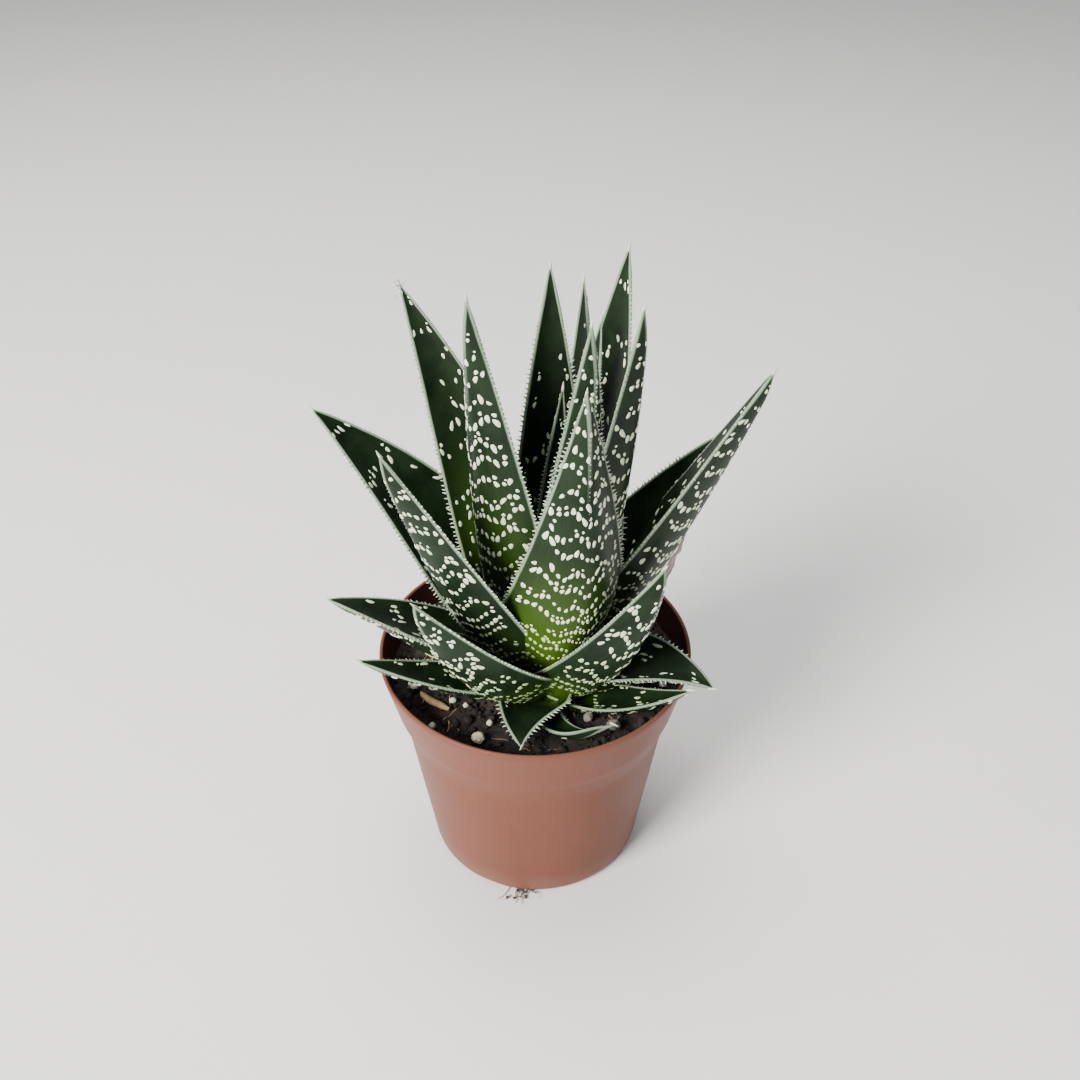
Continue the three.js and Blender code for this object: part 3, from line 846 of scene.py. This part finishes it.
def wrap_leaf(name, rule, green_share=0.4):
    deselect()
    bpy.ops.mesh.primitive_grid_add(x_subdivisions=AROUND, y_subdivisions=ALONG, size=2)
    ob = bpy.context.object
    ob.name = name
    mesh = ob.data
    flat = np.empty(len(mesh.vertices) * 3)
    mesh.vertices.foreach_get("co", flat)
    flat = flat.reshape(-1, 3)
    share = np.clip((flat[:, 0] + 1) / 2, 0, 1)
    u = np.clip((flat[:, 1] + 1) / 2, 0, 1)
    ends = (u < 1e-6) | (u > 1 - 1e-6)
    u = 1 - (1 - u) ** 1.25
    x, side, turn = section_walk(np.where(share > 1 - 1e-6, 0, share))
    rind = RIND * np.clip(rule.full_width(u) / 3, 0.25, 1)
    inner_out = rule.normal(np.clip(u, 0.002, 0.996), x, np.ones_like(u))
    outer_out = rule.normal(np.clip(u, 0.002, 0.996), x, -np.ones_like(u))
    own_out = np.where(side[:, None] > 0, inner_out, outer_out)
    _, across, inward = rule.axes(u)
    cap = inward * (np.cos(turn) * side)[:, None] + across * (np.sin(turn) * np.sign(x))[:, None]
    out = np.where((turn > 0)[:, None], cap, own_out)
    points = rule.skin(u, x, side) + out * rind[:, None]
    tip_point = rule.tip + unit(rule.chord) * 0.2
    points[ends & (u < 0.5)] = rule.foot - unit(rule.chord) * 0.2
    points[ends & (u > 0.5)] = tip_point
    mesh.vertices.foreach_set("co", (points * MM).ravel())
    rim = np.where(turn > 0, 0, (1 - np.abs(x)) * rule.full_width(u) / 2)
    ridge = np.where(side < 0, np.abs(x) * rule.full_width(u) / 2, 9) + np.clip(0.62 - u, 0, 1) * 30
    marks = {"rim": rim, "ridge": ridge, "along": u / green_share, "outer": (side < 0) * 1.0}
    for key, values in marks.items():
        layer = mesh.attributes.new(key, "FLOAT", "POINT")
        layer.data.foreach_set("value", values.astype(np.float32))
    turn_faces_out(merge=2e-6)
    mesh.shade_smooth()
    return ob


# %% [markdown]
# The cream flecks are small raised blisters, and the teeth are soft cones. One blister and one tooth are
# modelled here. Their points are taken up, so that each copy can be bent to the leaf by the growing rule.

# %% One blister and one tooth
deselect()
bpy.ops.mesh.primitive_uv_sphere_add(segments=10, ring_count=6, radius=1)
blister_points, blister_faces = taken_up(bpy.context.object)
deselect()
bpy.ops.mesh.primitive_cone_add(vertices=6, radius1=1, radius2=0.12, depth=1, location=(0, 0, 0.5))
tooth = bpy.context.object
for vertex in tooth.data.vertices:
    height = vertex.co.z + 0.5
    vertex.co.x *= 1 - 0.35 * math.sin(math.pi * height)
    vertex.co.y *= 1 - 0.35 * math.sin(math.pi * height)
set_place(tooth)
tooth_points, tooth_faces = taken_up(tooth)
print("blister faces:", len(blister_faces), "tooth faces:", len(tooth_faces))


# %% [markdown]
# The flecks lie in wavy bands across the leaf, small and close near the foot, longer and further apart
# towards the tip, with more on the outer face than on the inner one. A texture of dots could give the
# colour, but raised blisters catch the light as the real ones do. Some flecks get a smaller one beside
# them, so that the bands don't look drawn.

# %% Lay the flecks in bands
def fleck_places(rule, side, fullness, rng):
    """Rows of (u, x, width, length, tilt) in millimetres and radians, laid band by band from foot to tip."""
    rows = []
    place = rng.uniform(0.09, 0.12)
    shift = rng.uniform(0, 1)
    while place < 0.96:
        width = float(rule.full_width(place))
        young = max(0.0, 1 - place / 0.5)
        narrow = min(1, width / 14)
        pitch = (0.98 + 0.42 * (1 - young)) * (1.0 if side < 0 else 1.3)
        wave = rng.uniform(6.5, 9.5)
        swing = (1.35 - 0.75 * young) * narrow
        chevron = rng.uniform(0.15, 0.45) * (1 - young) * (1 if side < 0 else 0.4)
        across = -width * 0.45 + rng.uniform(0, pitch)
        gap_run = 0
        while across < width * 0.45:
            if gap_run > 0 or rng.random() > fullness:
                gap_run = gap_run - 1 if gap_run > 0 else rng.integers(0, 3 if side < 0 else 4)
                across += pitch
                continue
            turn = 2 * math.pi * (across / wave + shift)
            along = place * rule.length + swing * math.sin(turn) + chevron * abs(across)
            along += rng.normal(0, 0.16)
            slope = swing * math.cos(turn) * 2 * math.pi / wave
            fleck_width = rng.uniform(0.78, 1.12) * (0.55 + 0.45 * narrow) * (1 - 0.26 * young)
            stretch = 1.25 + rng.uniform(0.1, 1.35) * (1 - 0.7 * young) + (0.35 if side > 0 else 0)
            tilt = -0.35 * slope + rng.normal(0, 0.12)
            length = fleck_width * stretch
            rows.append((along / rule.length, across / (width / 2), fleck_width, length, tilt))
            if rng.random() < 0.34:
                beside = across + rng.uniform(-0.5, 0.5)
                further = along + length * 0.6 + rng.uniform(0.35, 0.8)
                small = fleck_width * rng.uniform(0.6, 0.95)
                long = small * rng.uniform(1.0, 1.7)
                rows.append((further / rule.length, beside / (width / 2), small, long, tilt))
            across += pitch * rng.uniform(0.82, 1.2)
        step = (2.5 if side < 0 else 3.9) + 3.0 * (1 - young) ** 1.2
        place += step * rng.uniform(0.88, 1.12) / rule.length
        shift += rng.uniform(-0.15, 0.15)
    return np.array([row for row in rows if abs(row[1]) < 0.9 and row[0] < 0.97]).reshape(-1, 5)


def blisters(rule, side, fullness, rng):
    rows = fleck_places(rule, side, fullness, rng)
    if not len(rows):
        return []
    u, x, width, length, tilt = (rows[:, i][:, None] for i in range(5))
    a = blister_points[:, 0] * width / 2
    b = blister_points[:, 1] * length / 2
    waist = 1 + 0.12 * np.sin(3 * np.arctan2(blister_points[:, 1], blister_points[:, 0]) + 40 * x)
    a, b = a * waist, b * waist
    over = a * np.cos(tilt) - b * np.sin(tilt)
    along = a * np.sin(tilt) + b * np.cos(tilt)
    at_u = u + along / rule.length
    at_x = np.clip(x + over / (rule.full_width(u) / 2), -0.97, 0.97)
    sides = np.full(at_u.shape, float(side))
    out = rule.normal(np.clip(at_u, 0.01, 0.99), at_x, sides)
    lift = RIND - 0.03 + blister_points[:, 2] * np.minimum(0.2, width * 0.18)
    points = rule.skin(at_u, at_x, sides) + out * lift[..., None]
    return [(one * MM, blister_faces) for one in points]


# %% [markdown]
# The teeth are soft white points, a little over a millimetre apart, that lean towards the tip. They get
# smaller towards both ends of the leaf. The keel carries a few as well, near the tip, and the tip itself
# ends in a short pale spine.

# %% Set the teeth
def toothed_line(rule, x, side, first, last, size, rng):
    teeth = []
    u = first
    while u < last:
        width = float(rule.full_width(u))
        where = np.array([u])
        point = rule.skin(where, np.array([x]), np.array([side]))[0]
        _, across, inward = (part[0] for part in rule.axes(where))
        ahead = np.cross(across, inward)
        ahead = unit(rule.chord) if ahead.dot(rule.chord) < 0 else ahead
        out = across * np.sign(x) if x else -inward
        heading = unit(out + ahead * rng.uniform(0.15, 0.75) + inward * rng.normal(0, 0.12))
        side_way = unit(np.cross(heading, inward + out * 0.01 + ahead * 0.02))
        frame_of = np.stack([side_way, np.cross(heading, side_way), heading])
        fade = min(1, 0.35 + 3 * (u - first), 0.25 + 5 * (last - u)) * min(1, 0.4 + width / 12)
        scale = np.array([0.27, 0.27, 1.0]) * size * fade * rng.uniform(0.75, 1.2)
        teeth.append((((tooth_points * scale) @ frame_of + point + out * RIND * 0.5) * MM, tooth_faces))
        u += rng.uniform(0.95, 1.55) * (0.75 + 0.25 * min(1, width / 12)) / rule.length
    return teeth


def tip_spine(rule):
    way = unit(rule.chord)
    path = [rule.tip - way * 1.6, rule.tip - way * 0.6, rule.tip + way * 0.3, rule.tip + way * 1.1]
    return [strand(path, [0.42, 0.36, 0.22, 0.05], 8)]


# %% [markdown]
# A leaf is nearly black green and satin. Towards the foot it turns yellow green, most of all in its middle.
# Very fine veins run along it, and the outer face has a thin grey bloom. The rim and the upper keel are
# pale and horny. All of that is one material, steered by the leaf's own attributes. Flecks and teeth near
# the heart of the rosette are young and greener.

# %% Leaf finishes
def leaf_finish(name, dark, mid, foot, bloom):
    skin = Finish(name, IOR=1.42, Specular_IOR_Level=0.17)
    along = skin.attribute("along")
    rim = skin.attribute("rim")
    ridge = skin.attribute("ridge")
    outer = skin.attribute("outer")
    cloudy = skin.noise(130, 4)
    leaf_map = skin.node("ShaderNodeTexCoord", output="UV")
    veins = skin.noise(1.0, 4, 0.6, at=leaf_map, stretch=(260, 9, 1))
    green = skin.mix(skin.between(cloudy + veins * 0.35, 0.45, 0.85), dark, mid)
    green = skin.mix(outer * skin.between(veins, 0.3, 0.8) * bloom, green, (0.055, 0.090, 0.060, 1))
    toward_foot = skin.between(along + cloudy * 0.3, 0.35, 1.2, 1.0, 0.0)
    inward = skin.between(rim, 0.6, 5.0, 0.45, 1.0)
    green = skin.mix(toward_foot * inward * 0.9, green, foot)
    rim_mask = skin.between(rim + (cloudy - 0.5) * 0.3, 0.05, 0.45, 1.0, 0.0)
    ridge_mask = skin.between(ridge + (cloudy - 0.5) * 0.3, 0.15, 0.55, 1.0, 0.0) * outer
    pale = skin.mix(toward_foot, (0.23, 0.31, 0.21, 1), (0.22, 0.33, 0.10, 1))
    green = skin.mix(rim_mask, green, pale)
    green = skin.mix(ridge_mask * 0.8, green, pale)
    gloss = skin.between(cloudy, 0.3, 0.75, 0.33, 0.45) + rim_mask * 0.12
    relief = skin.bump(veins * 0.6 + cloudy * 0.4, 0.00012, 0.55)
    return skin.feed(Base_Color=green, Roughness=gloss, Normal=relief)


HEART = (STEM_X * MM, STEM_Y * MM, (SOIL_TOP + 8) * MM)


def horn_finish(name, first, second, roughness, young=None):
    finish = Finish(name, Roughness=roughness)
    patches = finish.between(finish.noise(420, 3), 0.35, 0.7)
    horn = finish.mix(patches, first, second)
    if young:
        from_heart = {0: finish.place(), 1: HEART}
        away = finish.node("ShaderNodeVectorMath", {"operation": "DISTANCE"}, from_heart, output=1)
        horn = finish.mix(finish.between(away, 0.014, 0.050, 0.85, 0.0), horn, young)
    return finish.feed(Base_Color=horn, Normal=finish.bump(finish.noise(1500, 3), 0.00006, 0.5))


BLACK_GREEN = (0.0035, 0.0090, 0.0035, 1)
DEEP_GREEN = (0.0090, 0.0210, 0.0070, 1)
FOOT_GREEN = (0.052, 0.110, 0.005, 1)
YOUNG_FLECK = (0.24, 0.40, 0.09, 1)
YOUNG_TOOTH = (0.40, 0.50, 0.28, 1)
leaf_skin = leaf_finish("aloe_leaf", BLACK_GREEN, DEEP_GREEN, FOOT_GREEN, 0.09)
cream_fleck = horn_finish("cream_fleck", (0.80, 0.90, 0.66, 1), (0.64, 0.78, 0.50, 1), 0.5, YOUNG_FLECK)
pale_tooth = horn_finish("pale_tooth", (0.66, 0.70, 0.60, 1), (0.50, 0.56, 0.45, 1), 0.55, YOUNG_TOOTH)


# %% [markdown]
# Every leaf is now made in the same loop: its skin, its flecks, its teeth and its spine, joined into one
# piece with three finishes.

# %% Join a leaf's parts into one piece
def joined(name, parts):
    deselect()
    for part in parts:
        part.select_set(True)
    bpy.context.view_layer.objects.active = parts[0]
    bpy.ops.object.join()
    parts[0].name = name
    return parts[0]


def growth_order(node):
    return GROWTH[node]["order"]


# How full of flecks each leaf's inner and outer faces are; a leaf not named here has the usual ones.
FLECKS = {
    "leaf_heart_right": (0.0, 0.15),
    "leaf_left": (0.68, 0.85),
    "leaf_back_small": (0.45, 0.8),
    "leaf_tall_back_right": (0.62, 0.85),
    "leaf_upright_back": (0.60, 0.85),
    "leaf_tall_back_left": (0.75, 0.85),
    "leaf_right_rear": (0.55, 0.8),
    "leaf_low_left": (0.55, 0.85),
    "leaf_low_right": (0.60, 0.8),
    "leaf_lowest_front": (0.15, 0.5),
    "leaf_stub_front_right": (0.1, 0.3),
}
leaf_pieces = {}
for index, (node, rule) in enumerate(rules.items()):
    if "withered" in node:
        continue
    rng = np.random.default_rng(100 + index)
    skin_piece = wrap_leaf(node + "_skin", rule, 0.62 if growth_order(node) > 0.6 else 0.36)
    paint(skin_piece, leaf_skin)
    inner, outer = FLECKS.get(node, (0.78, 0.93))
    spots = blisters(rule, 1, inner, rng) + blisters(rule, -1, outer, rng)
    parts = [skin_piece]
    if spots:
        fleck_piece = copies_as_piece(node + "_flecks", spots)
        paint(fleck_piece, cream_fleck)
        parts.append(fleck_piece)
    size = 1.15 if rule.width > 14 else 0.7
    points = toothed_line(rule, 1, 1, 0.12, 0.985, size, rng)
    points += toothed_line(rule, -1, 1, 0.12, 0.985, size, rng)
    points += toothed_line(rule, 0, -1, 0.66, 0.97, size * 0.6, rng) + tip_spine(rule)
    tooth_piece = copies_as_piece(node + "_teeth", points)
    paint(tooth_piece, pale_tooth)
    parts.append(tooth_piece)
    piece = joined(node + "_piece", parts)
    leaf_pieces[node] = piece
    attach(piece, "root")
    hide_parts(node)
print("leaves:", len(leaf_pieces), "faces:", sum(len(p.data.polygons) for p in leaf_pieces.values()))

# %% [markdown]
# One leaf on the right has dried out. It is thin, rolled in at its edges and twisted, and it has turned a
# purple grey with pale papery streaks. It is wrapped like the others and then crumpled by noise.

# %% The withered leaf
WITHERED = "leaf_right_withered"
withered = wrap_leaf(WITHERED + "_piece", rules[WITHERED])
for vertex in withered.data.vertices:
    place = vertex.co / MM
    folds = Vector(noise.noise_vector(place * 0.35)) * 0.6 * MM
    wrinkles = Vector(noise.noise_vector(place)) * 0.22 * MM
    vertex.co += folds + wrinkles
papery = Finish("withered_skin", Roughness=0.8)
streak_map = papery.node("ShaderNodeTexCoord", output="UV")
streaks = papery.noise(1.0, 4, 0.6, at=streak_map, stretch=(40, 4, 1))
dry = papery.mix(papery.between(streaks, 0.35, 0.7), (0.085, 0.060, 0.070, 1), (0.34, 0.28, 0.25, 1))
paint(withered, papery.feed(Base_Color=dry, Normal=papery.bump(streaks, 0.0005, 0.8)))
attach(withered, "root")
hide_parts(WITHERED)

# %% [markdown]
# The stem is a short core that the leaf bases hide. Its solid has the right shape, so it stays and only
# gets a fleshy yellow-green skin.

# %% The stem's finish
flesh = Finish("stem_flesh", Roughness=0.6)
fleshy = flesh.noise(220, 4)
stem_colour = flesh.mix(flesh.between(fleshy, 0.35, 0.7), (0.12, 0.17, 0.035, 1), (0.24, 0.22, 0.09, 1))
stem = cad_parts["stem"]
paint(stem, flesh.feed(Base_Color=stem_colour, Normal=flesh.bump(fleshy, 0.0004, 0.7)))

# %% [markdown]
# Two small untidy things make the plant real: dry fibres that fray from the tip of the tall leaf at the
# back left, and a wisp of root that has grown out under the foot of the pot.

# %% Frayed fibres and the root wisp
rng = np.random.default_rng(5)
frayed_rule = rules["leaf_tall_back_left"]
frays = []
for _ in range(11):
    start = frayed_rule.tip - unit(frayed_rule.chord) * rng.uniform(0, 2.2)
    heading = unit(np.array([-0.55, 0.1, 0.8]) + rng.normal(0, 0.55, 3))
    path = wandering(rng, start, heading, rng.uniform(1.6, 5.0), 9, 0.42)
    frays.append(strand(path, np.linspace(0.20, 0.06, len(path)), 5))
fray_piece = copies_as_piece("frayed_tip", frays)
paint(fray_piece, horn_finish("dry_fray", (0.78, 0.76, 0.68, 1), (0.55, 0.52, 0.44, 1), 0.8))
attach(fray_piece, "root")

roots = []
for _ in range(14):
    angle = math.radians(rng.normal(262, 3.5))
    start = (29 * math.cos(angle), 29 * math.sin(angle), rng.uniform(0.6, 1.4))
    heading = unit(np.array([math.cos(angle) + 0.35, math.sin(angle), -0.1]))
    path = wandering(rng, start, heading, rng.uniform(5, 9.5), 10, 0.2)
    path = [(p[0], p[1], max(p[2] - 0.1 * i, 0.2)) for i, p in enumerate(path)]
    roots.append(strand(path, np.linspace(0.17, 0.06, len(path)), 5))
for _ in range(16):
    angle = math.radians(rng.normal(263, 3))
    reach = rng.uniform(31, 36)
    points, faces = crumb_patterns[rng.integers(5)]
    size = rng.uniform(0.15, 0.5)
    turned = points * size @ any_turn(rng).T
    place = np.array([reach * math.cos(angle), reach * math.sin(angle), -turned[:, 2].min()])
    roots.append(((turned + place) * MM, faces))
root_piece = copies_as_piece("root_wisp", roots)
paint(root_piece, horn_finish("dry_root", (0.13, 0.10, 0.075, 1), (0.045, 0.032, 0.025, 1), 0.9))
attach(root_piece, "root")
